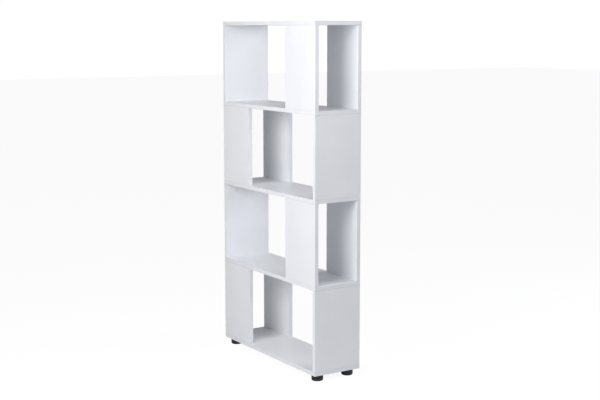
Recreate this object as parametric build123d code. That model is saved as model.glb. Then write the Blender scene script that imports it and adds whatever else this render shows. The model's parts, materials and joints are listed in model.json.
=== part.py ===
from build123d import *
import os

# Free-standing four-tier display bookcase of white melamine-faced board.
# Frame: millimetres, +Z up, origin on the floor under the middle of the unit,
# X along the width, the front at -Y. All five horizontal boards run through to the outer faces.
# In each tier one full-depth end panel closes one end, and a front and a back panel stand at the
# other end, which is open sideways. The arrangement swaps ends from tier to tier.

# ---- Overall sizes ----
unit_width = 800.0
unit_depth = 240.0
board_thickness = 18.0
clear_height = 363.0            # free height between two horizontal boards
tier_count = 4
panel_width = 240.0             # width of each front and back panel

# ---- Edging ----
edging_thickness = 1.0
edging_round = 0.6              # rounding of the edging's two outer long edges

# ---- Dowels between boards ----
dowel_diameter = 8.0
dowel_edge_inset = 24.0         # dowel axis from the upright's long edge
dowel_depth_in_upright = 24.0
dowel_chamfer = 1.0
blind_hole_skin = 6.0           # board left under a hole drilled in a horizontal board
hole_end_gap = 0.5              # air at the bottom of a blind hole
press_clearance = 0.05          # radial, for pieces that sit in a drilled hole

# ---- Cam locks and their bolts ----
cam_edge_inset = 56.0           # bolt axis from the upright's long edge
cam_backset = 34.0              # cam axis from the upright's end
cam_diameter = 15.0
cam_reach = 4.5                 # cam bore beyond the bolt axis
cam_recess = 1.2                # cam face below the board face
cam_drive_width = 2.4
cam_drive_length = 9.0
cam_drive_depth = 2.0
cam_pocket_gap = 0.6            # free space round the bolt head inside the cam
bolt_hole_diameter = 8.0        # hole for the bolt through the upright's end
bolt_thread_diameter = 5.0
bolt_collar_diameter = 7.6
bolt_collar_length = 2.0
bolt_shank_diameter = 6.0
bolt_neck_diameter = 3.8
bolt_neck_length = 4.0
bolt_head_diameter = 6.4
bolt_head_length = 3.0

# ---- Cover caps over the cams ----
cap_diameter = 17.0
cap_thickness = 0.6
cap_round = 0.3
cap_spigot_length = 0.8
cap_spigot_wall = 1.2

# ---- Levelling feet ----
foot_diameter = 52.0
foot_height = 32.0              # floor to the bottom board's underside, foot fully screwed in
foot_inset = 40.0               # foot axis from the two nearest outer faces
foot_top_gap = 0.5              # foot body to the bottom board, foot fully screwed in
foot_top_round = 1.5
foot_bottom_round = 6.0
sole_diameter = 36.0
sole_thickness = 3.5
sole_proud = 1.0                # sole stands out below the foot body
sole_round = 0.8
stud_diameter = 8.0
stud_running_clearance = 0.1    # radial, stud in the foot body
thread_clearance = 0.05         # radial, stud in the insert nut
swivel_head_diameter = 14.0
swivel_head_thickness = 3.0
swivel_gap = 0.1                # free space round the swivel head
stud_chamfer = 0.8
key_width = 4.0                 # hexagon socket across flats
key_depth = 5.0

# ---- Insert nuts and key-hole plugs in the bottom board ----
nut_barrel_diameter = 12.0
nut_barrel_length = 11.0
nut_flange_diameter = 22.0
nut_flange_thickness = 1.5
nut_flange_recess = 0.3         # flange below the board's underside
key_hole_diameter = 10.0
plug_head_diameter = 14.0
plug_head_thickness = 0.8
plug_head_round = 0.4
plug_depth = 2.5
plug_bore_diameter = 6.0
stud_top_gap = 0.5              # stud top to the plug, foot fully screwed in

# ---- Worked-out places ----
tier_pitch = clear_height + board_thickness
board_count = tier_count + 1
blind_hole_depth = board_thickness - blind_hole_skin
half_board = board_thickness / 2
board_names = ["bottom_board", *(f"shelf_{n}" for n in range(1, tier_count)), "top_board"]
foot_x = unit_width / 2 - foot_inset
foot_y = unit_depth / 2 - foot_inset
foot_places = [(-foot_x, -foot_y), (foot_x, -foot_y), (-foot_x, foot_y), (foot_x, foot_y)]
foot_names = ["front_left", "front_right", "back_left", "back_right"]
stud_top = foot_height + board_thickness - plug_depth - stud_top_gap
sole_top = sole_thickness


def board_underside(index):
    """Height of the underside of horizontal board number index, counted from the bottom."""
    return foot_height + index * tier_pitch


def block(x_range, y_range, z_range):
    """Plain box between the given limits."""
    corner = (x_range[0], y_range[0], z_range[0])
    size = (x_range[1] - x_range[0], y_range[1] - y_range[0], z_range[1] - z_range[0])
    return Pos(*corner) * Box(*size, align=(Align.MIN, Align.MIN, Align.MIN))


def rod(diameter, z_low, z_high):
    """Cylinder on the Z axis between two heights."""
    low_end = (Align.CENTER, Align.CENTER, Align.MIN)
    return Pos(0, 0, z_low) * Cylinder(diameter / 2, z_high - z_low, align=low_end)


def edging_strip(length, width):
    """Strip along X with its back on Y = 0, facing -Y, its two outer long edges rounded."""
    strip = block((-length / 2, length / 2), (-edging_thickness, 0), (-width / 2, width / 2))
    outer_edges = strip.edges().filter_by(Axis.X).group_by(Axis.Y)[0]
    return fillet(outer_edges, min(edging_round, 0.8 * edging_thickness))


# ---- Fastenings at one end of an upright ----
# Local frame of one fastening: origin where the upright's mid-plane meets the horizontal board,
# +Z into the upright, +Y towards the upright's inner face, -Z into the horizontal board.

def dowel():
    pin = rod(dowel_diameter - 2 * press_clearance,
              hole_end_gap - blind_hole_depth, dowel_depth_in_upright - hole_end_gap)
    return chamfer(pin.edges(), dowel_chamfer)


def dowel_hole_in_board():
    return rod(dowel_diameter, -blind_hole_depth, 0)


def dowel_hole_in_upright():
    return rod(dowel_diameter, 0, dowel_depth_in_upright)


def cam_bolt():
    head_low = cam_backset - bolt_head_length / 2
    neck_low = head_low - bolt_neck_length
    bolt = rod(bolt_thread_diameter - 2 * press_clearance, hole_end_gap - blind_hole_depth, 0)
    bolt += rod(bolt_collar_diameter, 0, bolt_collar_length)
    bolt += rod(bolt_shank_diameter, bolt_collar_length, neck_low)
    bolt += rod(bolt_neck_diameter, neck_low, head_low)
    bolt += rod(bolt_head_diameter, head_low, head_low + bolt_head_length)
    return bolt


def bolt_hole_in_board():
    return rod(bolt_thread_diameter, -blind_hole_depth, 0)


def bolt_hole_in_upright():
    return rod(bolt_hole_diameter, 0, cam_backset)


def cam_axis_place():
    """Local frame of a cam: origin on the inner board face, +Z out of the board."""
    return Pos(0, half_board, cam_backset) * Rot(-90, 0, 0)


def cam_bore():
    return cam_axis_place() * rod(cam_diameter, -half_board - cam_reach, 0)


def cam():
    """Cam housing with a pocket for the bolt head, a slot for its neck and a screwdriver slot."""
    body = cam_axis_place() * rod(cam_diameter - 2 * press_clearance,
                                  hole_end_gap - half_board - cam_reach, -cam_recess)
    pocket = rod(bolt_head_diameter + 2 * cam_pocket_gap,
                 cam_backset - bolt_head_length / 2 - cam_pocket_gap,
                 cam_backset + bolt_head_length / 2 + cam_pocket_gap)
    neck_half = bolt_neck_diameter / 2 + cam_pocket_gap
    shank_half = bolt_shank_diameter / 2 + cam_pocket_gap
    neck_slot = rod(2 * neck_half, cam_backset - cam_diameter, cam_backset)
    shank_room = rod(2 * shank_half, 0, cam_backset - bolt_head_length / 2 - bolt_neck_length)
    drive = block((-cam_drive_length / 2, cam_drive_length / 2),
                  (-cam_drive_width / 2, cam_drive_width / 2),
                  (-cam_recess - cam_drive_depth, -cam_recess))
    return body - pocket - neck_slot - shank_room - cam_axis_place() * drive


def cam_cap():
    """Thin cover cap with a hollow spigot pressed into the mouth of the cam bore."""
    disc = rod(cap_diameter, 0, cap_thickness)
    disc = fillet(disc.edges().group_by(Axis.Z)[-1], min(cap_round, 0.8 * cap_thickness))
    spigot_diameter = cam_diameter - 2 * press_clearance
    spigot = rod(spigot_diameter, -cap_spigot_length, 0)
    spigot -= rod(spigot_diameter - 2 * cap_spigot_wall, -cap_spigot_length, 0)
    return cam_axis_place() * (disc + spigot)


# ---- Uprights ----
# Local frame of an upright: origin at the middle of its lower end, X along its width,
# +Y towards its inner face, +Z up.

def end_fastenings(width, edge_inset):
    """Places of one kind of fastening: two at the lower end and two at the upper end."""
    offset = width / 2 - edge_inset
    turned_over = Pos(0, 0, clear_height) * Rot(0, 180, 0)
    return [end * Pos(x, 0, 0) for end in (Location(), turned_over) for x in (-offset, offset)]


def upright(width):
    core_half = width / 2 - edging_thickness
    core = block((-core_half, core_half), (-half_board, half_board), (0, clear_height))
    for place in end_fastenings(width, dowel_edge_inset):
        core -= place * dowel_hole_in_upright()
    for place in end_fastenings(width, cam_edge_inset):
        core -= place * bolt_hole_in_upright()
        core -= place * cam_bore()
    return core


def upright_edging(width):
    """The two strips on the long edges of an upright."""
    strip = Rot(0, 90, 0) * edging_strip(clear_height, board_thickness)
    left = Pos(-width / 2 + edging_thickness, 0, clear_height / 2) * Rot(0, 0, -90) * strip
    right = Pos(width / 2 - edging_thickness, 0, clear_height / 2) * Rot(0, 0, 90) * strip
    return [left, right]


def tier_uprights(tier):
    """Name, width and place of the three uprights of a tier, counted from the bottom."""
    floor = board_underside(tier) + board_thickness
    side = 1 if tier % 2 == 0 else -1
    end_x = side * (unit_width / 2 - half_board)
    panel_x = -side * (unit_width / 2 - panel_width / 2)
    panel_y = unit_depth / 2 - half_board
    return [
        ("end_panel", unit_depth, Pos(end_x, 0, floor) * Rot(0, 0, 90 * side)),
        ("front_panel", panel_width, Pos(panel_x, -panel_y, floor)),
        ("back_panel", panel_width, Pos(panel_x, panel_y, floor) * Rot(0, 0, 180)),
    ]


def tier_fastenings(tier, edge_inset):
    """Places of one kind of fastening in all three uprights of a tier."""
    return [place * end
            for _, width, place in tier_uprights(tier)
            for end in end_fastenings(width, edge_inset)]


# ---- Horizontal boards ----

def horizontal_board(index):
    underside = board_underside(index)
    half_x = unit_width / 2 - edging_thickness
    half_y = unit_depth / 2 - edging_thickness
    core = block((-half_x, half_x), (-half_y, half_y), (underside, underside + board_thickness))
    tiers_that_meet_it = [tier for tier in (index - 1, index) if 0 <= tier < tier_count]
    for tier in tiers_that_meet_it:
        for place in tier_fastenings(tier, dowel_edge_inset):
            core -= place * dowel_hole_in_board()
        for place in tier_fastenings(tier, cam_edge_inset):
            core -= place * bolt_hole_in_board()
    if index == 0:
        for x, y in foot_places:
            core -= Pos(x, y, 0) * foot_fitting_holes()
    return core


def board_edging(index):
    """Long strips over the whole width, short strips between them at the two ends."""
    height = board_underside(index) + half_board
    long_strip = edging_strip(unit_width, board_thickness)
    short_strip = edging_strip(unit_depth - 2 * edging_thickness, board_thickness)
    front_y = unit_depth / 2 - edging_thickness
    end_x = unit_width / 2 - edging_thickness
    return [
        Pos(0, -front_y, height) * long_strip,
        Pos(0, front_y, height) * Rot(0, 0, 180) * long_strip,
        Pos(end_x, 0, height) * Rot(0, 0, 90) * short_strip,
        Pos(-end_x, 0, height) * Rot(0, 0, -90) * short_strip,
    ]


# ---- Levelling feet: local frame with its origin on the floor under the foot's axis ----

def foot_fitting_holes():
    """Bore for the insert nut, recess for its flange and the key hole up to the board's top."""
    underside = foot_height
    flange_depth = nut_flange_recess + nut_flange_thickness
    bore = rod(nut_barrel_diameter, underside, underside + nut_flange_recess + nut_barrel_length)
    flange_seat = rod(nut_flange_diameter, underside, underside + flange_depth)
    key_hole = rod(key_hole_diameter, underside, underside + board_thickness)
    return bore + flange_seat + key_hole


def insert_nut():
    low = foot_height + nut_flange_recess
    barrel = rod(nut_barrel_diameter - 2 * press_clearance, low, low + nut_barrel_length)
    flange = rod(nut_flange_diameter - 2 * press_clearance, low, low + nut_flange_thickness)
    thread = rod(stud_diameter + 2 * thread_clearance, low, low + nut_barrel_length)
    return barrel + flange - thread


def key_hole_plug():
    top = foot_height + board_thickness
    head = rod(plug_head_diameter, top, top + plug_head_thickness)
    head = fillet(head.edges().group_by(Axis.Z)[-1], min(plug_head_round, 0.8 * plug_head_thickness))
    skirt = rod(key_hole_diameter - 2 * press_clearance, top - plug_depth, top)
    return head + skirt - rod(plug_bore_diameter, top - plug_depth, top)


def foot_body():
    """Round moulding with a well-rounded lower edge, hollowed for the sole and the swivel head."""
    top = foot_height - foot_top_gap
    body = rod(foot_diameter, sole_proud, top)
    body = fillet(body.edges().group_by(Axis.Z)[-1], foot_top_round)
    body = fillet(body.edges().group_by(Axis.Z)[0], foot_bottom_round)
    sole_room = rod(sole_diameter, sole_proud, sole_top)
    head_top = sole_top + swivel_head_thickness + 2 * swivel_gap
    head_room = rod(swivel_head_diameter + 2 * swivel_gap, sole_top, head_top)
    stud_bore = rod(stud_diameter + 2 * stud_running_clearance, head_top, top)
    return body - sole_room - head_room - stud_bore


def sole():
    pad = rod(sole_diameter - 2 * press_clearance, 0, sole_top)
    return fillet(pad.edges().group_by(Axis.Z)[0], sole_round)


def stud():
    """Threaded stud with a flat swivel head below and a hexagon socket in its top."""
    low = sole_top + swivel_gap
    shank = chamfer(rod(stud_diameter, low, stud_top).edges().group_by(Axis.Z)[-1], stud_chamfer)
    head = rod(swivel_head_diameter, low, low + swivel_head_thickness)
    hexagon = RegularPolygon(key_width / 2, 6, major_radius=False)
    socket = Pos(0, 0, stud_top - key_depth) * extrude(hexagon, key_depth)
    return shank + head - socket


# ---- Writing the nodes ----

def write(name, shapes):
    """One STEP file per node. Each node is one solid or a group of separate solids."""
    solids = [solid for shape in shapes for solid in shape.solids()]
    export_step(Compound(children=solids), f"parts/{name}.step")


os.makedirs("parts", exist_ok=True)

for board_index in range(board_count):
    board_name = board_names[board_index]
    write(board_name, [horizontal_board(board_index)])
    write(f"{board_name}_edging", board_edging(board_index))

for tier in range(tier_count):
    tier_name = f"tier_{tier + 1}"
    edging = []
    for upright_name, width, place in tier_uprights(tier):
        write(f"{tier_name}_{upright_name}", [place * upright(width)])
        edging += [place * strip for strip in upright_edging(width)]
    write(f"{tier_name}_upright_edging", edging)
    dowel_places = tier_fastenings(tier, dowel_edge_inset)
    cam_places = tier_fastenings(tier, cam_edge_inset)
    write(f"{tier_name}_dowels", [place * dowel() for place in dowel_places])
    write(f"{tier_name}_cam_bolts", [place * cam_bolt() for place in cam_places])
    write(f"{tier_name}_cams", [place * cam() for place in cam_places])
    write(f"{tier_name}_cam_caps", [place * cam_cap() for place in cam_places])

write("insert_nuts", [Pos(x, y, 0) * insert_nut() for x, y in foot_places])
write("key_hole_plugs", [Pos(x, y, 0) * key_hole_plug() for x, y in foot_places])

for foot_name, (x, y) in zip(foot_names, foot_places):
    foot_place = Pos(x, y, 0)
    write(f"foot_body_{foot_name}", [foot_place * foot_body()])
    write(f"foot_sole_{foot_name}", [foot_place * sole()])
    write(f"foot_stud_{foot_name}", [foot_place * stud()])
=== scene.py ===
# %% [markdown]
# # An open display bookcase in white board
# The unit is flat-pack furniture. Five full-size white boards have twelve uprights between them,
# held by dowels and cam locks, and the whole stands on four black levelling feet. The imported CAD
# model is loaded first and never moved. This lesson adds what engineering solids don't have: a
# finish for every material, finely shaped feet, threads and fittings, and a plain white studio.

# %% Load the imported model
import json
import math
import bpy
from mathutils import Matrix, Vector


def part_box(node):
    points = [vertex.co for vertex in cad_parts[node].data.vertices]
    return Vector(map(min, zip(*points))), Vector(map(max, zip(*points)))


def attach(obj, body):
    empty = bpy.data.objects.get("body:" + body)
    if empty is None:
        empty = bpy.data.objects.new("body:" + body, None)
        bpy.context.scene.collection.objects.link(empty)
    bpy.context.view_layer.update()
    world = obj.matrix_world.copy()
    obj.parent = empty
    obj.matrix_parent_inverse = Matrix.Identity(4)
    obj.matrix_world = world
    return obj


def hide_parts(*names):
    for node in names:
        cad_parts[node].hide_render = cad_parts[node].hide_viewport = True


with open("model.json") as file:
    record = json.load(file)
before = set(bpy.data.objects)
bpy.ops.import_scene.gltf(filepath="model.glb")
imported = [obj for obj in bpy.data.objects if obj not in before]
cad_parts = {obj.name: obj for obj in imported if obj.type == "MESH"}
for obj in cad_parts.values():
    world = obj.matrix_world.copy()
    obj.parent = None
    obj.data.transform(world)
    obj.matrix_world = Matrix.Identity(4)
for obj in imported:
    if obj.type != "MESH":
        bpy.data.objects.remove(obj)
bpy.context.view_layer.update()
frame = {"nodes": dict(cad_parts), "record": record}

MM = 0.001
nodes = frame["nodes"]
slot_of = {part["node"]: part["material_slot"] for part in frame["record"]["subparts"]}

# %% [markdown]
# ## The build-up of the unit
# A few sizes are read from the model rather than typed, so that patterns and fittings follow it:
# the height of one tier, the free height between two boards, and the thickness of a board. The
# edging stands out past the core of its board by the thickness of the strip.

# %% Sizes read from the model
bottom_low, bottom_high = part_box("bottom_board")
shelf_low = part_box("shelf_1")[0]
edging_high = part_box("bottom_board_edging")[1]
board_mm = (bottom_high.z - bottom_low.z) / MM
first_floor = bottom_high.z
tier_pitch = shelf_low.z - bottom_low.z
clear_height = shelf_low.z - bottom_high.z
strip_mm = (edging_high.x - bottom_high.x) / MM
print("board, tier, free height, strip in mm:",
      [round(v, 2) for v in (board_mm, tier_pitch / MM, clear_height / MM, strip_mm)])

# %% [markdown]
# ## Shader nodes
# Every finish below is a small graph of shader nodes. Three helpers keep the graphs readable: one
# turns an sRGB hex colour into the linear colour that a shader wants, one adds a node with its
# settings and its links, and one gives the scale of a texture from the real size of its features.

# %% Helpers for colours and nodes
# A Mix node that blends colours has its own two inputs and its own output.
COLOUR_A, COLOUR_B, COLOUR_OUT = 6, 7, 2


def srgb(hex_code):
    """Linear colour, with alpha 1, of an sRGB hex value."""
    channels = [int(hex_code[i:i + 2], 16) / 255 for i in (1, 3, 5)]
    linear = [c / 12.92 if c <= 0.04045 else ((c + 0.055) / 1.055) ** 2.4 for c in channels]
    return (*linear, 1.0)


def add(tree, kind, links=None, sockets=None, **settings):
    """A shader node: settings are its properties, sockets its fixed inputs, links its linked ones."""
    node = tree.nodes.new("ShaderNode" + kind)
    for name, value in settings.items():
        setattr(node, name, value)
    for name, value in (sockets or {}).items():
        node.inputs[name].default_value = value
    for name, source in (links or {}).items():
        tree.links.new(source, node.inputs[name])
    return node


def per_metre(size_mm):
    """Scale of a texture in object coordinates whose features are about this many millimetres."""
    return 1 / (size_mm * MM)


def new_material(name):
    """An empty material and its node tree."""
    material = bpy.data.materials.new(name)
    material.use_nodes = True
    material.node_tree.nodes.clear()
    return material, material.node_tree


def set_ramp(ramp, low, low_colour, high, high_colour):
    """Two stops of a colour ramp."""
    for stop, position, colour in zip(ramp.color_ramp.elements, (low, high), (low_colour, high_colour)):
        stop.position = position
        stop.color = srgb(colour)


# %% [markdown]
# ## The joint line of painted shade and dust
# Where an upright meets a horizontal board, the arris of each board is slightly broken, so the groove
# holds shade and a little dust, and every joint shows as a hair line. The boards have no such groove,
# so the line is painted shade, with the dust in it. Dark paint along each edge by hand would have to
# be redone for every board. The joints repeat with the tier pitch, so one pattern along Z draws them all.

# %% Pattern for the painted joint shade and dust
shade_half_width = 0.9 * MM
# The hair line is painted shade of the joint groove, with a little dust, in this grey.
joint_shade_colour = "#8f8f96"
shade_on_board, shade_on_edging = 0.4, 0.35


def joint_shade_and_dust(tree, coordinates):
    """Painted shade and dust: 1 on upright faces at the joint planes of every tier, falling to 0 within
    the half width.
    """
    height = add(tree, "SeparateXYZ", {"Vector": coordinates.outputs["Object"]}).outputs["Z"]
    above_first = add(tree, "Math", {0: height}, {1: first_floor}, operation="SUBTRACT")
    in_tier = add(tree, "Math", {0: above_first.outputs["Value"]}, {1: tier_pitch},
                  operation="FLOORED_MODULO")
    from_middle = add(tree, "Math", {0: in_tier.outputs["Value"]}, {1: clear_height / 2},
                      operation="SUBTRACT")
    distance = add(tree, "Math", {0: from_middle.outputs["Value"]}, operation="ABSOLUTE")
    beyond_joint = add(tree, "Math", {0: distance.outputs["Value"]}, {1: clear_height / 2},
                       operation="SUBTRACT")
    to_joint = add(tree, "Math", {0: beyond_joint.outputs["Value"]}, operation="ABSOLUTE")
    shade_line = add(tree, "MapRange", {"Value": to_joint.outputs["Value"]},
               {"From Min": 0.3 * shade_half_width, "From Max": shade_half_width,
                "To Min": 1, "To Max": 0})
    upward = add(tree, "SeparateXYZ", {"Vector": coordinates.outputs["Normal"]}).outputs["Z"]
    steepness = add(tree, "Math", {0: upward}, operation="ABSOLUTE")
    is_upright = add(tree, "Math", {0: steepness.outputs["Value"]}, {1: 0.5}, operation="LESS_THAN")
    on_upright = add(tree, "Math", {0: shade_line.outputs["Result"], 1: is_upright.outputs["Value"]},
                     operation="MULTIPLY")
    return on_upright.outputs["Value"]


# %% [markdown]
# ## Melamine-faced chipboard
# The boards are chipboard with a paper soaked in melamine resin pressed on both faces between
# textured steel plates. What the eye gets is a cool white, half matt, with a fine pearl grain and
# a gloss that drifts a little over the sheet. The cut faces are bare chipboard: tan flakes a few
# millimetres long in a coarse, dull surface. Painting the whole solid white would be simpler, but
# a board taken out of the unit would then have no core. So the shader asks each point which way it
# faces: the two faces across the thickness are melamine and every other face is a cut.

# %% Board finish, one material for each way that a board can face


def board_material(name, thickness_axis):
    """Melamine on the two faces square to the thickness axis, bare chipboard on all the others."""
    material, tree = new_material(name)
    coordinates = add(tree, "TexCoord")
    place = coordinates.outputs["Object"]

    drift = add(tree, "TexNoise", {"Vector": place}, {"Scale": per_metre(160), "Detail": 3})
    white = add(tree, "ValToRGB", {"Fac": drift.outputs["Fac"]})
    set_ramp(white, 0.3, "#ebedf0", 0.7, "#f0f1f4")
    # Painted shade and dust darkens the white in a hair line along the joints.
    shade_line = add(tree, "Math", {0: joint_shade_and_dust(tree, coordinates)}, {1: shade_on_board},
               operation="MULTIPLY")
    face = add(tree, "Mix", {"Factor": shade_line.outputs["Value"], COLOUR_A: white.outputs["Color"]},
               {COLOUR_B: srgb(joint_shade_colour)}, data_type="RGBA")

    # The pearl grain of the pressing plate is about 0.4 mm, drawn four times coarser so that it shows.
    grain = add(tree, "TexNoise", {"Vector": place}, {"Scale": per_metre(1.6), "Detail": 2})
    sheen_drift = add(tree, "TexNoise", {"Vector": place}, {"Scale": per_metre(45), "Detail": 4})
    face_roughness = add(tree, "MapRange", {"Value": sheen_drift.outputs["Fac"]},
                         {"From Min": 0.3, "From Max": 0.7, "To Min": 0.34, "To Max": 0.44})

    # Flakes are 2 to 5 mm. A cell pattern gives each flake one tone between pale and dark wood.
    flakes = add(tree, "TexVoronoi", {"Vector": place}, {"Scale": per_metre(3.2)})
    wood = add(tree, "ValToRGB", {"Fac": flakes.outputs["Color"]})
    set_ramp(wood, 0, "#8a6c4a", 1, "#d2b88f")

    facing = add(tree, "VectorMath", {0: coordinates.outputs["Normal"]}, {1: thickness_axis},
                 operation="DOT_PRODUCT")
    squareness = add(tree, "Math", {0: facing.outputs["Value"]}, operation="ABSOLUTE")
    is_face = add(tree, "Math", {0: squareness.outputs["Value"]}, {1: 0.9}, operation="GREATER_THAN")
    is_face = is_face.outputs["Value"]

    colour = add(tree, "Mix", {"Factor": is_face, COLOUR_A: wood.outputs["Color"],
                               COLOUR_B: face.outputs[COLOUR_OUT]}, data_type="RGBA")
    roughness = add(tree, "Mix", {"Factor": is_face, "B": face_roughness.outputs["Result"]}, {"A": 0.9})
    relief = add(tree, "Mix", {"Factor": is_face, "A": flakes.outputs["Distance"],
                               "B": grain.outputs["Fac"]})
    bump = add(tree, "Bump", {"Height": relief.outputs["Result"]},
               {"Strength": 0.12, "Distance": 0.05 * MM})
    shader = add(tree, "BsdfPrincipled",
                 {"Base Color": colour.outputs[COLOUR_OUT], "Roughness": roughness.outputs["Result"],
                  "Normal": bump.outputs["Normal"]}, {"IOR": 1.5})
    add(tree, "OutputMaterial", {"Surface": shader.outputs["BSDF"]})
    return material


board_materials = [board_material("melamine_faced_chipboard_" + letter, axis)
                   for letter, axis in (("x", (1, 0, 0)), ("y", (0, 1, 0)), ("z", (0, 0, 1)))]
print("board finishes:", [material.name for material in board_materials])

# %% [markdown]
# ## ABS edging
# The cut edges are covered by an extruded ABS strip, glued on hot, trimmed flush and buffed. It
# matches the white of the board closely. Its own marks are faint drag lines from the extruder and a
# gloss that follows the buffing wheel. The same hair line of painted shade and dust runs along the
# joints.

# %% Edging finish
edging, tree = new_material("white_abs_edging")
coordinates = add(tree, "TexCoord")
place = coordinates.outputs["Object"]
tone = add(tree, "TexNoise", {"Vector": place}, {"Scale": per_metre(90), "Detail": 2})
white = add(tree, "ValToRGB", {"Fac": tone.outputs["Fac"]})
set_ramp(white, 0.3, "#e9ebee", 0.7, "#eeeff2")
# Painted shade and dust darkens the strip in a hair line along the joints.
shade_line = add(tree, "Math", {0: joint_shade_and_dust(tree, coordinates)}, {1: shade_on_edging},
           operation="MULTIPLY")
strip_colour = add(tree, "Mix", {"Factor": shade_line.outputs["Value"], COLOUR_A: white.outputs["Color"]},
                   {COLOUR_B: srgb(joint_shade_colour)}, data_type="RGBA")
# Drag lines lie about 0.5 mm apart, drawn three times wider.
drag = add(tree, "TexNoise", {"Vector": place}, {"Scale": per_metre(1.5), "Detail": 1})
bump = add(tree, "Bump", {"Height": drag.outputs["Fac"]}, {"Strength": 0.08, "Distance": 0.04 * MM})
gloss = add(tree, "MapRange", {"Value": tone.outputs["Fac"]}, {"To Min": 0.38, "To Max": 0.48})
shader = add(tree, "BsdfPrincipled",
             {"Base Color": strip_colour.outputs[COLOUR_OUT], "Roughness": gloss.outputs["Result"],
              "Normal": bump.outputs["Normal"]}, {"IOR": 1.53})
add(tree, "OutputMaterial", {"Surface": shader.outputs["BSDF"]})
print("edging finish:", edging.name)

# %% [markdown]
# ## Moulded plastics and rubber
# The feet are black polypropylene from a spark-eroded mould, so they have a fine even grain, a
# soft broad highlight and a little dust towards the floor. The soles are dark rubber, duller and
# rubbed grey where they touch the floor. The small caps and plugs are white polyethylene, waxy and
# smooth. All three are one idea: a base colour that drifts, a grain, and a range of roughness.

# %% Plastic and rubber finishes
dust_height = 14 * MM
gloss_spread = 0.06


def moulded_material(name, dark, light, grain_mm, relief_mm, roughness, ior, dust=None):
    """Moulded plastic or rubber. Dust is a colour that settles on the lowest millimetres."""
    material, tree = new_material(name)
    place = add(tree, "TexCoord").outputs["Object"]
    drift = add(tree, "TexNoise", {"Vector": place}, {"Scale": per_metre(12), "Detail": 4})
    tone = add(tree, "ValToRGB", {"Fac": drift.outputs["Fac"]})
    set_ramp(tone, 0.35, dark, 0.65, light)
    colour = tone.outputs["Color"]
    if dust:
        height = add(tree, "SeparateXYZ", {"Vector": place})
        low = add(tree, "MapRange", {"Value": height.outputs["Z"]},
                  {"From Min": 0, "From Max": dust_height, "To Min": 0.3, "To Max": 0})
        spread = add(tree, "Math", {0: low.outputs["Result"], 1: drift.outputs["Fac"]},
                     operation="MULTIPLY")
        dusty = add(tree, "Mix", {"Factor": spread.outputs["Value"], COLOUR_A: colour},
                    {COLOUR_B: srgb(dust)}, data_type="RGBA")
        colour = dusty.outputs[COLOUR_OUT]
    grain = add(tree, "TexNoise", {"Vector": place}, {"Scale": per_metre(grain_mm), "Detail": 2})
    bump = add(tree, "Bump", {"Height": grain.outputs["Fac"]},
               {"Strength": 0.5, "Distance": relief_mm * MM})
    gloss = add(tree, "MapRange", {"Value": drift.outputs["Fac"]},
                {"To Min": roughness - gloss_spread, "To Max": roughness + gloss_spread})
    shader = add(tree, "BsdfPrincipled",
                 {"Base Color": colour, "Roughness": gloss.outputs["Result"],
                  "Normal": bump.outputs["Normal"]}, {"IOR": ior})
    add(tree, "OutputMaterial", {"Surface": shader.outputs["BSDF"]})
    return material


foot_plastic = moulded_material("black_polypropylene", "#131315", "#1d1d20", 0.6, 0.05, 0.42, 1.49,
                                dust="#8a8780")
sole_rubber = moulded_material("dark_rubber", "#1c1c1c", "#2b2a29", 0.9, 0.08, 0.78, 1.52,
                               dust="#77736c")
cap_plastic = moulded_material("white_polyethylene", "#ebebef", "#f1f1f4", 1.2, 0.01, 0.40, 1.51)
print("plastics and rubber:", foot_plastic.name, sole_rubber.name, cap_plastic.name)

# %% [markdown]
# ## Metals and beech
# Studs, nuts and bolts are zinc-plated steel: bright, slightly blue, with a soft satin highlight.
# The cams are die-cast zinc, greyer and coarser, as they leave the die. The dowels are beech, cut
# and fluted along the grain, with fine darker fibres.

# %% Metal finishes
satin_spread = 0.08


def metal_material(name, dark, light, grain_mm, relief_mm, roughness):
    """Bare or plated metal with clouded tone and a satin gloss that follows the clouds."""
    material, tree = new_material(name)
    place = add(tree, "TexCoord").outputs["Object"]
    cloud = add(tree, "TexNoise", {"Vector": place}, {"Scale": per_metre(5), "Detail": 4})
    tone = add(tree, "ValToRGB", {"Fac": cloud.outputs["Fac"]})
    set_ramp(tone, 0.3, dark, 0.7, light)
    grain = add(tree, "TexNoise", {"Vector": place}, {"Scale": per_metre(grain_mm), "Detail": 3})
    bump = add(tree, "Bump", {"Height": grain.outputs["Fac"]},
               {"Strength": 0.4, "Distance": relief_mm * MM})
    satin = add(tree, "MapRange", {"Value": cloud.outputs["Fac"]},
                {"To Min": roughness - satin_spread, "To Max": roughness + satin_spread})
    shader = add(tree, "BsdfPrincipled",
                 {"Base Color": tone.outputs["Color"], "Roughness": satin.outputs["Result"],
                  "Normal": bump.outputs["Normal"]}, {"Metallic": 1.0})
    add(tree, "OutputMaterial", {"Surface": shader.outputs["BSDF"]})
    return material


zinc_plated = metal_material("zinc_plated_steel", "#a9adb4", "#d3d6db", 0.3, 0.01, 0.30)
die_cast_zinc = metal_material("die_cast_zinc", "#85878a", "#a3a5a7", 0.5, 0.04, 0.50)
print("metals:", zinc_plated.name, die_cast_zinc.name)

# %% Beech finish
beech, tree = new_material("beech")
place = add(tree, "TexCoord").outputs["Object"]
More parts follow.
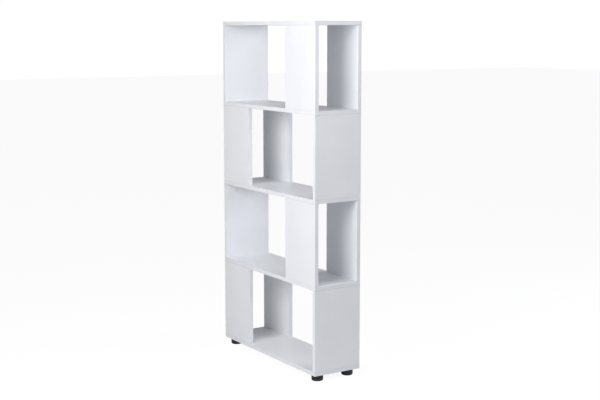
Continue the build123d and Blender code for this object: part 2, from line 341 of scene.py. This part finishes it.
# The grain runs up every dowel, so the pattern is stretched along Z.
grain_stretch = 8
along = add(tree, "Mapping", {"Vector": place}, {"Scale": (1, 1, 1 / grain_stretch)})
fibres = add(tree, "TexNoise", {"Vector": along.outputs["Vector"]},
             {"Scale": per_metre(0.8), "Detail": 4})
wood = add(tree, "ValToRGB", {"Fac": fibres.outputs["Fac"]})
set_ramp(wood, 0.35, "#a97f55", 0.6, "#dcbd92")
bump = add(tree, "Bump", {"Height": fibres.outputs["Fac"]}, {"Strength": 0.4, "Distance": 0.1 * MM})
shader = add(tree, "BsdfPrincipled", {"Base Color": wood.outputs["Color"],
                                      "Normal": bump.outputs["Normal"]}, {"Roughness": 0.6})
add(tree, "OutputMaterial", {"Surface": shader.outputs["BSDF"]})
print("wood finish:", beech.name)

# %% Give each CAD node its finish
finish_of_slot = {
    "white_abs_edging": edging,
    "beech_dowel": beech,
    "zinc_plated_steel": zinc_plated,
    "die_cast_zinc": die_cast_zinc,
    "white_plastic_cap": cap_plastic,
    "black_plastic_foot": foot_plastic,
    "black_rubber_sole": sole_rubber,
}

for name, cad_object in nodes.items():
    low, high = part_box(name)
    size = high - low
    thinnest = min(range(3), key=lambda axis: size[axis])
    finish = finish_of_slot.get(slot_of[name], board_materials[thinnest])
    cad_object.data.materials.clear()
    cad_object.data.materials.append(finish)
print("finishes given to", len(nodes), "CAD nodes")

# %% [markdown]
# ## Turned pieces
# Feet, soles, studs, bolts, dowels and caps are all round. On a lathe each is an outline turned
# about an axis, and it is made the same way here: the outline is drawn point by point in the XZ
# plane, as with the extrude key, and spun about Z. Points are given as (radius, height) in
# millimetres. An outline that returns to its first point makes a ring with a hole through it, and
# one that starts and ends on the axis makes a solid.

# %% Helpers for round pieces
double_distance = 0.002 * MM


def deselect():
    """Leaves object mode with nothing selected, so that operators act on the new piece alone."""
    if bpy.context.mode != "OBJECT":
        bpy.ops.object.mode_set(mode="OBJECT")
    bpy.ops.object.select_all(action="DESELECT")


def make_active(piece):
    """Selects one piece, and only that one, in object mode."""
    deselect()
    bpy.context.view_layer.objects.active = piece
    piece.select_set(True)


def draw_outline(name, outline):
    """An edge chain drawn from a single point. The piece is left in edit mode."""
    deselect()
    bpy.ops.mesh.primitive_plane_add(size=MM)
    piece = bpy.context.object
    piece.name = name
    bpy.ops.object.mode_set(mode="EDIT")
    bpy.ops.mesh.select_mode(type="VERT")
    bpy.ops.mesh.merge(type="CENTER")
    points = [Vector((radius * MM, 0, height * MM)) for radius, height in outline]
    bpy.ops.transform.translate(value=points[0])
    for here, there in zip(points, points[1:]):
        bpy.ops.mesh.extrude_region_move(TRANSFORM_OT_translate={"value": there - here})
    bpy.ops.mesh.select_all(action="SELECT")
    return piece


def close_up():
    """Merges what a spin left double and turns every face outwards."""
    bpy.ops.mesh.select_all(action="SELECT")
    bpy.ops.mesh.remove_doubles(threshold=double_distance)
    bpy.ops.mesh.normals_make_consistent(inside=False)
    bpy.ops.object.mode_set(mode="OBJECT")


def turned(name, outline, steps=64):
    """A solid or a ring, turned about Z from its outline."""
    piece = draw_outline(name, outline)
    bpy.ops.mesh.spin(steps=steps, angle=math.tau, center=(0, 0, 0), axis=(0, 0, 1))
    close_up()
    return piece


def arc(centre, radius, start, end, steps):
    """Points of an arc in an outline, its angles in degrees from the radius axis towards +Z."""
    turns = [math.radians(start + (end - start) * step / steps) for step in range(steps + 1)]
    return [(centre[0] + radius * math.cos(turn), centre[1] + radius * math.sin(turn)) for turn in turns]


def pick(piece, kind, wanted):
    """Enters edit mode with only those faces or vertices selected that pass the test."""
    make_active(piece)
    bpy.ops.object.mode_set(mode="EDIT")
    bpy.ops.mesh.select_mode(type=kind)
    bpy.ops.mesh.select_all(action="DESELECT")
    bpy.ops.object.mode_set(mode="OBJECT")
    for element in piece.data.polygons if kind == "FACE" else piece.data.vertices:
        element.select = wanted(element)
    bpy.ops.object.mode_set(mode="EDIT")


def cut(piece, tool, operation="DIFFERENCE"):
    """Boolean with a tool piece, which is used up."""
    make_active(piece)
    modifier = piece.modifiers.new("cut", "BOOLEAN")
    modifier.operation = operation
    modifier.object = tool
    modifier.solver = "EXACT"
    bpy.ops.object.modifier_apply(modifier=modifier.name)
    bpy.data.objects.remove(tool)


def soften(piece, width_mm, angle=30):
    """A narrow bevel on every crisp edge, as moulding or tumbling leaves it, and smooth shading."""
    make_active(piece)
    modifier = piece.modifiers.new("soften", "BEVEL")
    modifier.width = width_mm * MM
    modifier.segments = 2
    modifier.limit_method = "ANGLE"
    modifier.angle_limit = math.radians(angle)
    bpy.ops.object.modifier_apply(modifier=modifier.name)
    bpy.ops.object.shade_smooth_by_angle(angle=math.radians(angle))


# %% [markdown]
# ## Placing pieces
# A finished piece sits at the origin with its place in its mesh, exactly as the CAD nodes do, so
# that it can ride on a body. Each copy gets its own mesh, moved by a matrix. Copies that share a
# CAD node are joined into the one piece that stands for it, and the cell prints how far the piece's
# box is from the box of that node.

# %% Helper that places copies of a prototype


def place_copies(prototype, name, places, material, body, replaced_node):
    """One piece made of a copy of the prototype at each place. It stands for a CAD node."""
    copies = []
    for place in places:
        twin = prototype.copy()
        twin.data = prototype.data.copy()
        twin.data.transform(place)
        bpy.context.scene.collection.objects.link(twin)
        copies.append(twin)
    piece = copies[0]
    make_active(piece)
    if len(copies) > 1:
        for twin in copies:
            twin.select_set(True)
        bpy.ops.object.join()
    piece.name = name
    piece.data.materials.clear()
    piece.data.materials.append(material)
    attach(piece, body)
    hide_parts(replaced_node)
    corners = [vertex.co for vertex in piece.data.vertices]
    low = Vector([min(corner[axis] for corner in corners) for axis in range(3)])
    high = Vector([max(corner[axis] for corner in corners) for axis in range(3)])
    cad_low, cad_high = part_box(replaced_node)
    off = max(abs(difference) for difference in (*(low - cad_low), *(high - cad_high))) / MM
    triangles = sum(len(polygon.vertices) - 2 for polygon in piece.data.polygons)
    print(f"{name}: {triangles} triangles, box within {off:.2f} mm of the CAD node")


foot_corners = ["front_left", "front_right", "back_left", "back_right"]


def foot_place(corner):
    """The point on the floor under the axis of a foot."""
    low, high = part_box("foot_sole_" + corner)
    return Matrix.Translation(((low.x + high.x) / 2, (low.y + high.y) / 2, 0))


# %% [markdown]
# ## The levelling feet
# Each foot is a black moulding with a well-rounded lower edge. It has a boss in the middle for the
# stud and a ring of pockets between ribs on top, which save plastic and keep the wall even. The
# lathe outline gives the body. The pockets are then pushed down out of the flat top ring, sector by
# sector, as the core of the mould forms them.

# %% Foot body
foot_low, foot_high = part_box("foot_body_front_left")
sole_low, sole_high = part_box("foot_sole_front_left")
stud_low, stud_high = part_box("foot_stud_front_left")
foot_radius = (foot_high.x - foot_low.x) / 2 / MM
foot_bottom, foot_top = foot_low.z / MM, foot_high.z / MM
sole_radius = (sole_high.x - sole_low.x) / 2 / MM
sole_top = sole_high.z / MM
swivel_radius = (stud_high.x - stud_low.x) / 2 / MM
stud_bottom, stud_top = stud_low.z / MM, stud_high.z / MM
print("foot radius and top in mm:", round(foot_radius, 2), round(foot_top, 2))

lower_round, upper_round = 6.0, 1.5
boss_radius, pocket_radius, pocket_depth = 9.0, 22.0, 12.0
foot_steps, rib_every = 96, 12
stud_radius, swivel_thickness, swivel_gap = 4.0, 3.0, 0.1
bore_radius = stud_radius + swivel_gap
room_radius = swivel_radius + swivel_gap
room_top = sole_top + swivel_thickness + 2 * swivel_gap
sole_room_radius = sole_radius + 0.05
foot_break, sole_break = 0.25, 0.1

foot_outline = [
    (bore_radius, room_top), (room_radius, room_top), (room_radius, sole_top),
    (sole_room_radius, sole_top), (sole_room_radius, foot_bottom),
    *arc((foot_radius - lower_round, foot_bottom + lower_round), lower_round, -90, 0, 8),
    *arc((foot_radius - upper_round, foot_top - upper_round), upper_round, 0, 90, 4),
    (pocket_radius, foot_top), (boss_radius, foot_top), (bore_radius, foot_top),
    (bore_radius, room_top),
]
foot = turned("foot_prototype", foot_outline, steps=foot_steps)


def in_pocket(polygon):
    """True for the top ring between boss and rim, except for the faces that stay as ribs."""
    centre = polygon.center
    radius = math.hypot(centre.x, centre.y) / MM
    sector = int(math.atan2(centre.y, centre.x) % math.tau / math.tau * foot_steps)
    on_top = polygon.normal.z > 0.9 and centre.z / MM > foot_top - 0.01
    return on_top and boss_radius < radius < pocket_radius and sector % rib_every != 0


pick(foot, "FACE", in_pocket)
bpy.ops.mesh.extrude_region_move(TRANSFORM_OT_translate={"value": (0, 0, -pocket_depth * MM)})
bpy.ops.object.mode_set(mode="OBJECT")
soften(foot, foot_break)
for corner in foot_corners:
    place_copies(foot, "levelling_foot_" + corner, [foot_place(corner)], foot_plastic,
                 "foot_" + corner, "foot_body_" + corner)
bpy.data.objects.remove(foot)

# %% [markdown]
# ## The soles
# A rubber disc is pressed into each foot. Its underside has rings that grip the floor. They could
# be a bump texture, but the underside of furniture is looked at from close by when a foot is set,
# so the rings are in the outline itself.

# %% Sole with grip rings
ring_pitch, groove_width, groove_depth, ring_taper, sole_round = 3.6, 1.4, 0.7, 0.2, 0.8
sole_outline = [(0, groove_depth)]
ring_start = groove_width
while ring_start + ring_pitch < sole_radius - sole_round:
    ring_end = ring_start + ring_pitch - groove_width
    sole_outline += [(ring_start, groove_depth), (ring_start + ring_taper, 0),
                     (ring_end - ring_taper, 0), (ring_end, groove_depth)]
    ring_start += ring_pitch
sole_outline += [(ring_start, groove_depth), (ring_start + ring_taper, 0),
                 *arc((sole_radius - sole_round, sole_round), sole_round, -90, 0, 4),
                 (sole_radius, sole_top), (0, sole_top)]
sole = turned("sole_prototype", sole_outline, steps=72)
soften(sole, sole_break)
for corner in foot_corners:
    place_copies(sole, "grip_sole_" + corner, [foot_place(corner)], sole_rubber,
                 "foot_" + corner, "foot_sole_" + corner)
bpy.data.objects.remove(sole)

# %% [markdown]
# ## Screw threads
# A screw thread is one tooth swept along a helix. The screw operator does just that: it turns the
# outline of the tooth about the axis and lowers it by its own height each turn, so an outline
# exactly one pitch high gives a seamless thread. About -Z the helix is right-handed, as in every
# ordinary screw. The thread is grown past both ends, then cut to length with a lead-in chamfer by
# keeping only what lies inside a plain blank.

# %% Helper for a threaded length
crest_share = 0.06


def threaded(name, radius, pitch, depth, low, high, chamfer, steps):
    """A thread between two heights, with a chamfer at both ends."""
    crest = crest_share * pitch
    tooth = [(radius - depth, 0), (radius, pitch / 2 - crest), (radius, pitch / 2 + crest),
             (radius - depth, pitch)]
    turns = math.ceil((high - low) / pitch) + 2
    thread = draw_outline(name, tooth)
    bpy.ops.mesh.screw(steps=steps, turns=turns, center=(0, 0, 0), axis=(0, 0, -1))
    bpy.ops.mesh.select_all(action="SELECT")
    bpy.ops.mesh.remove_doubles(threshold=double_distance)
    bpy.ops.transform.translate(value=(0, 0, high * MM))
    for height, side in ((low, -1), (high, 1)):
        bpy.ops.mesh.select_all(action="SELECT")
        bpy.ops.mesh.bisect(plane_co=(0, 0, height * MM), plane_no=(0, 0, side), use_fill=True,
                            clear_outer=True)
    close_up()
    blank = turned("blank", [(0, low), (radius - chamfer, low), (radius, low + chamfer),
                             (radius, high - chamfer), (radius - chamfer, high), (0, high)], steps=48)
    cut(thread, blank, "INTERSECT")
    return thread


# %% [markdown]
# ## The studs
# The stud is a zinc-plated steel screw. A flat head swivels in the foot below, and a hexagon socket
# in the top takes a key through the hole in the bottom board.

# %% Stud with swivel head and key socket
thread_pitch, thread_depth, stud_chamfer = 1.25, 0.7, 0.7
key_width, key_depth = 4.0, 5.0
head_break, thread_in_head = 0.4, 2.0
stud = threaded("stud_prototype", stud_radius, thread_pitch, thread_depth,
                stud_bottom + swivel_thickness - thread_in_head, stud_top, stud_chamfer, 32)
swivel_top = stud_bottom + swivel_thickness
swivel = turned("swivel", [(0, stud_bottom), (swivel_radius - head_break, stud_bottom),
                           (swivel_radius, stud_bottom + head_break),
                           (swivel_radius, swivel_top - head_break),
                           (swivel_radius - head_break, swivel_top), (0, swivel_top)], steps=48)
cut(stud, swivel, "UNION")
deselect()
bpy.ops.mesh.primitive_cylinder_add(vertices=6, radius=key_width / math.sqrt(3) * MM,
                                    depth=2 * key_depth * MM, location=(0, 0, stud_top * MM))
cut(stud, bpy.context.object)
make_active(stud)
bpy.ops.object.shade_smooth_by_angle(angle=math.radians(30))
for corner in foot_corners:
    place_copies(stud, "threaded_stud_" + corner, [foot_place(corner)], zinc_plated,
                 "stud_" + corner, "foot_stud_" + corner)
bpy.data.objects.remove(stud)

# %% [markdown]
# ## Insert nuts
# A nut is hammered into the underside of the bottom board over each foot. Rings with one steep
# side, like arrow barbs, hold it in the chipboard, and four notches in the flange keep it from
# turning.

# %% Insert nut
nut_low, nut_high = (corner.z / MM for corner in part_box("insert_nuts"))
flange_radius, flange_thickness = 10.95, 1.5
barrel_radius, barb_depth, barb_pitch = 5.95, 0.7, 1.8
nut_bore, nut_break, notch_radius = 4.05, 0.4, 1.8
first_barb, barb_flank, barb_share = 0.8, 0.1, 0.9
core_radius = barrel_radius - barb_depth
nut_outline = [(nut_bore + nut_break, nut_low), (flange_radius - nut_break, nut_low),
               (flange_radius, nut_low + nut_break), (flange_radius, nut_low + flange_thickness),
               (core_radius, nut_low + flange_thickness)]
barb = nut_low + flange_thickness + first_barb
while barb + barb_pitch < nut_high:
    nut_outline += [(core_radius, barb), (barrel_radius, barb + barb_flank),
                    (core_radius, barb + barb_share * barb_pitch)]
    barb += barb_pitch
nut_outline += [(core_radius, nut_high - nut_break), (core_radius - nut_break, nut_high),
                (nut_bore + nut_break, nut_high), (nut_bore, nut_high - nut_break),
                (nut_bore, nut_low + nut_break), (nut_bore + nut_break, nut_low)]
nut = turned("nut_prototype", nut_outline, steps=64)
for quarter in range(4):
    turn = math.radians(45 + 90 * quarter)
    deselect()
    bpy.ops.mesh.primitive_cylinder_add(
        vertices=24, radius=notch_radius * MM, depth=4 * flange_thickness * MM,
        location=(flange_radius * MM * math.cos(turn), flange_radius * MM * math.sin(turn), nut_low * MM))
    cut(nut, bpy.context.object)
make_active(nut)
bpy.ops.object.shade_smooth_by_angle(angle=math.radians(30))
place_copies(nut, "barbed_insert_nuts", [foot_place(corner) for corner in foot_corners], zinc_plated,
             "cabinet", "insert_nuts")
bpy.data.objects.remove(nut)

# %% [markdown]
# ## Key-hole plugs
# A white push-in plug closes the key hole over each foot. It has a thin rounded head with a shallow
# dish, and a hollow skirt with one snap bead that grips the hole.

# %% Plug
plug_low, plug_high = (corner.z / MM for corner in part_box("key_hole_plugs"))
plug_seat = first_floor / MM
plug_radius, plug_round, dish_radius, dish_depth = 7.0, 0.4, 4.5, 0.25
skirt_radius, skirt_bore, bead, bead_height = 4.95, 3.0, 0.25, 0.6
dish_slope, plug_break = 1.0, 0.08
plug = turned("plug_prototype", [
    (0, plug_seat), (skirt_bore, plug_seat), (skirt_bore, plug_low), (skirt_radius - bead, plug_low),
    (skirt_radius, plug_low + bead_height), (skirt_radius - bead, plug_low + 2 * bead_height),
    (skirt_radius - bead, plug_seat), (plug_radius, plug_seat),
    *arc((plug_radius - plug_round, plug_high - plug_round), plug_round, 0, 90, 4),
    (dish_radius, plug_high), (dish_radius - dish_slope, plug_high - dish_depth),
    (0, plug_high - dish_depth)])
soften(plug, plug_break)
place_copies(plug, "dished_key_hole_plugs", [foot_place(corner) for corner in foot_corners],
             cap_plastic, "cabinet", "key_hole_plugs")
bpy.data.objects.remove(plug)

# %% [markdown]
# ## The fastening places
# Every upright has the same fittings at both ends: two dowels near its edges and two cam locks
# further in. A fitting is made once, standing on the joint with +Z into the upright and +Y to the
# face that looks into the unit. This cell finds where each upright stands and turns that into
# matrices. The cells after it only have to shape the fittings.

# %% Frames of the fastenings of a tier
tier_count = sum(name.endswith("_end_panel") for name in nodes)
tiers = range(1, tier_count + 1)
dowel_inset, cam_inset, cam_backset = 24, 56, 34


def fastening_places(tier, edge_inset):
    """Frames on the joint planes of a tier: Z into the upright, Y towards its inner face."""
    places = []
    for upright in ("end_panel", "front_panel", "back_panel"):
        low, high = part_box(f"tier_{tier}_{upright}")
        middle = (low + high) / 2
        if upright == "end_panel":
            along, inner = Vector((0, 1, 0)), Vector((-math.copysign(1, middle.x), 0, 0))
        else:
            along, inner = Vector((1, 0, 0)), Vector((0, -math.copysign(1, middle.y), 0))
        reach = (high - low).dot(along) / 2 + (strip_mm - edge_inset) * MM
        for side in (-1, 1):
            for end, inward in ((low.z, 1), (high.z, -1)):
                into = Vector((0, 0, inward))
                origin = middle + along * reach * side
                origin.z = end
                frame_axes = Matrix((inner.cross(into), inner, into)).transposed()
                places.append(Matrix.Translation(origin) @ frame_axes.to_4x4())
    return places


print("dowels in a tier:", len(fastening_places(1, dowel_inset)))

# %% [markdown]
# ## Beech dowels
# A dowel is a beech rod pressed through a fluted die. The flutes let air and surplus glue out of
# the hole. A turned blank has its vertices in straight rows, so every second row of the middle part
# is drawn inwards, which leaves round crests and clean chamfered ends.

# %% Fluted dowel
dowel_radius, dowel_low, dowel_high, dowel_chamfer = 3.95, -11.5, 23.5, 1.0
flute_rows, flute_scale, plain_end = 32, 0.9, 2.0
dowel = turned("dowel_prototype", [
    (0, dowel_low), (dowel_radius - dowel_chamfer, dowel_low), (dowel_radius, dowel_low + dowel_chamfer),
    (dowel_radius, dowel_low + plain_end), (dowel_radius, dowel_high - plain_end),
    (dowel_radius, dowel_high - dowel_chamfer), (dowel_radius - dowel_chamfer, dowel_high),
    (0, dowel_high)], steps=flute_rows)


def in_flute(vertex):
    """True for every second row of the fluted part of the rod."""
    point = vertex.co
    row = round(math.atan2(point.y, point.x) / math.tau * flute_rows)
    fluted = dowel_low + plain_end - 0.1 < point.z / MM < dowel_high - plain_end + 0.1
    return fluted and row % 2 == 1


pick(dowel, "VERT", in_flute)
bpy.ops.transform.resize(value=(flute_scale, flute_scale, 1), center_override=(0, 0, 0))
bpy.ops.object.mode_set(mode="OBJECT")
bpy.ops.object.shade_smooth_by_angle(angle=math.radians(40))
for tier in tiers:
    place_copies(dowel, f"fluted_dowels_tier_{tier}", fastening_places(tier, dowel_inset), beech,
                 "cabinet", f"tier_{tier}_dowels")
bpy.data.objects.remove(dowel)

# %% [markdown]
# ## Cam bolts
# The bolt of a cam lock screws into the horizontal board with a coarse chipboard thread and stops
# at its collar. Its shank reaches up inside the upright, where the cam pulls on the thin neck under
# the head. The head has a cross recess for the driver.

# %% Cam bolt
bolt_radius, bolt_low, bolt_pitch, bolt_depth = 2.45, -11.5, 2.0, 0.6
collar_radius, collar_top, shank_radius = 3.8, 2.0, 3.0
neck_radius, neck_low, head_low, head_high, head_radius = 1.9, 28.5, 32.5, 35.5, 3.2
metal_break, bolt_chamfer, neck_taper = 0.3, 0.6, 0.5
root_radius, root_depth = 1.6, 1.0
bolt = threaded("bolt_prototype", bolt_radius, bolt_pitch, bolt_depth, bolt_low, 0, bolt_chamfer, 24)
body = turned("body", [
    (0, -root_depth), (root_radius, -root_depth), (root_radius, 0), (collar_radius - metal_break, 0),
    (collar_radius, metal_break), (collar_radius, collar_top - metal_break),
    (collar_radius - metal_break, collar_top), (shank_radius, collar_top), (shank_radius, neck_low),
    (neck_radius, neck_low + neck_taper), (neck_radius, head_low), (head_radius - metal_break, head_low),
    (head_radius, head_low + metal_break), (head_radius, head_high - metal_break),
    (head_radius - metal_break, head_high), (0, head_high)], steps=32)
cut(bolt, body, "UNION")
recess_length, recess_width, recess_depth = 3.6, 0.9, 1.6
for wing in ((recess_length, recess_width), (recess_width, recess_length)):
    deselect()
    bpy.ops.mesh.primitive_cube_add(size=MM, location=(0, 0, head_high * MM))
    bpy.ops.transform.resize(value=(*wing, 2 * recess_depth))
    bpy.ops.object.transform_apply(location=False, rotation=False, scale=True)
    cut(bolt, bpy.context.object)
make_active(bolt)
bpy.ops.object.shade_smooth_by_angle(angle=math.radians(30))
for tier in tiers:
    place_copies(bolt, f"threaded_cam_bolts_tier_{tier}", fastening_places(tier, cam_inset),
                 zinc_plated, "cabinet", f"tier_{tier}_cam_bolts")
bpy.data.objects.remove(bolt)

# %% [markdown]
# ## Cam covers
# Each cam is hidden under a thin white push-in cover. The disc is slightly rounded at the rim and
# has a small notch where a fingernail lifts it. A short hollow spigot holds it in the mouth of the
# bore. The cover is turned like the other pieces and laid over onto the inner face of the upright.

# %% Cam cover
cover_radius, cover_thickness, cover_round = 8.5, 0.6, 0.3
spigot_radius, spigot_bore, spigot_length, spigot_break = 7.45, 6.25, 0.8, 0.2
notch_size = (2.6, 0.7, 0.6)
cover = turned("cover_prototype", [
    (0, 0), (spigot_bore, 0), (spigot_bore, -spigot_length),
    (spigot_radius - spigot_break, -spigot_length), (spigot_radius, -spigot_length + spigot_break),
    (spigot_radius, 0), (cover_radius, 0),
    *arc((cover_radius - cover_round, cover_thickness - cover_round), cover_round, 0, 90, 3),
    (0, cover_thickness)], steps=48)
deselect()
bpy.ops.mesh.primitive_cube_add(size=MM, location=(0, -cover_radius * MM, 0))
bpy.ops.transform.resize(value=notch_size)
bpy.ops.object.transform_apply(location=False, rotation=False, scale=True)
cut(cover, bpy.context.object)
make_active(cover)
bpy.ops.object.shade_smooth_by_angle(angle=math.radians(35))
laid_over = (Matrix.Translation((0, board_mm / 2 * MM, cam_backset * MM))
             @ Matrix.Rotation(math.radians(-90), 4, "X"))
for tier in tiers:
    place_copies(cover, f"cam_covers_tier_{tier}",
                 [place @ laid_over for place in fastening_places(tier, cam_inset)],
                 cap_plastic, "cabinet", f"tier_{tier}_cam_caps")
bpy.data.objects.remove(cover)

# %% [markdown]
# ## The studio
# The unit stands on white paper in front of a white wall, with both lit so strongly that they read
# as plain white. Lighting them with real lamps would flood the white unit too. So the paper and the
# sky glow for the camera only, and keep a modest strength for every ray that lights the unit. A
# little of the real paper stays in the mix, and that is where the faint contact shadow shows.

# %% Floor and sky
floor_size = 60
floor_glow, glow_share = 1.06, 0.88
sky_on_unit, sky_in_gloss, sky_for_camera = 0.20, 0.28, 1.06
deselect()
bpy.ops.mesh.primitive_plane_add(size=floor_size)
floor = bpy.context.object
floor.name = "studio_floor"
paper_material, tree = new_material("white_studio_paper")
paper = add(tree, "BsdfDiffuse", sockets={"Color": srgb("#f2f2f4")})
glow = add(tree, "Emission", sockets={"Color": (1, 1, 1, 1), "Strength": floor_glow})
rays = add(tree, "LightPath")
share = add(tree, "Math", {0: rays.outputs["Is Camera Ray"]}, {1: glow_share},
            operation="MULTIPLY")
blend = add(tree, "MixShader", {"Fac": share.outputs["Value"], 1: paper.outputs["BSDF"],
                                2: glow.outputs["Emission"]})
add(tree, "OutputMaterial", {"Surface": blend.outputs["Shader"]})
floor.data.materials.append(paper_material)

world = bpy.data.worlds.new("white_studio")
bpy.context.scene.world = world
world.use_nodes = True
tree = world.node_tree
tree.nodes.clear()
rays = add(tree, "LightPath")
seen = add(tree, "MapRange", {"Value": rays.outputs["Is Camera Ray"]},
           {"To Min": sky_on_unit, "To Max": sky_for_camera})
strength = add(tree, "Math", {0: rays.outputs["Is Glossy Ray"], 2: seen.outputs["Result"]},
               {1: sky_in_gloss}, operation="MULTIPLY_ADD")
sky = add(tree, "Background", {"Strength": strength.outputs["Value"]}, {"Color": srgb("#fcfcff")})
add(tree, "OutputWorld", {"Surface": sky.outputs["Background"]})
print("floor:", floor.name, "sky:", world.name)

# %% [markdown]
# ## Lights
# A large softbox in front, a little to the right, lights the fronts and throws soft shadows of the
# front panels onto the back panels. A second one behind on the right opens up the inner faces. A
# small one close by on the right favours the upper half, so the unit darkens gently to the floor.
# The front softbox is kept out of mirror reflections, because a panel seen straight on would flare.

# %% Softboxes


def softbox(name, azimuth, distance, height, size, watts, aim_height, colour):
    """A square area light on a circle round the unit, aimed at a height on its axis."""
    turn = math.radians(azimuth)
    place = Vector((distance * math.sin(turn), -distance * math.cos(turn), height))
    light = bpy.data.lights.new(name, "AREA")
    light.shape = "SQUARE"
    light.size = size
    light.energy = watts
    light.color = srgb(colour)[:3]
    lamp = bpy.data.objects.new(name, light)
    lamp.location = place
    lamp.rotation_euler = (Vector((0, 0, aim_height)) - place).to_track_quat("-Z", "Y").to_euler()
    bpy.context.scene.collection.objects.link(lamp)
    return lamp


front_key = softbox("front_key", azimuth=24, distance=2.5, height=1.7, size=1.4, watts=49,
                    aim_height=0.85, colour="#ffffff")
front_key.visible_glossy = False
back_right = softbox("back_right", azimuth=152, distance=3.0, height=2.2, size=1.8, watts=45,
                     aim_height=0.9, colour="#f8faff")
near_right = softbox("near_right", azimuth=60, distance=1.3, height=1.9, size=0.9, watts=3.6,
                     aim_height=1.3, colour="#f6f9ff")
print("softboxes:", [lamp.name for lamp in (front_key, back_right, near_right)])

# %% [markdown]
# ## Camera
# The view is from the front right, a little below the top of the unit, through a mild telephoto
# lens that keeps the uprights almost parallel.

# %% Camera
camera_data = bpy.data.cameras.new("camera")
camera = bpy.data.objects.new("camera", camera_data)
bpy.context.scene.collection.objects.link(camera)
camera.location = (4.4915, -2.8262, 1.5428)
camera_data.sensor_width = 36
camera_data.lens = 69.47
camera_data.shift_y = -0.024
aim = Vector((0.0442, 0.0321, 0.8243))
camera.rotation_euler = (aim - camera.location).to_track_quat("-Z", "Y").to_euler()
bpy.context.scene.camera = camera
bpy.context.scene.view_settings.view_transform = "Standard"
print("camera distance in m:", round((aim - camera.location).length, 2))
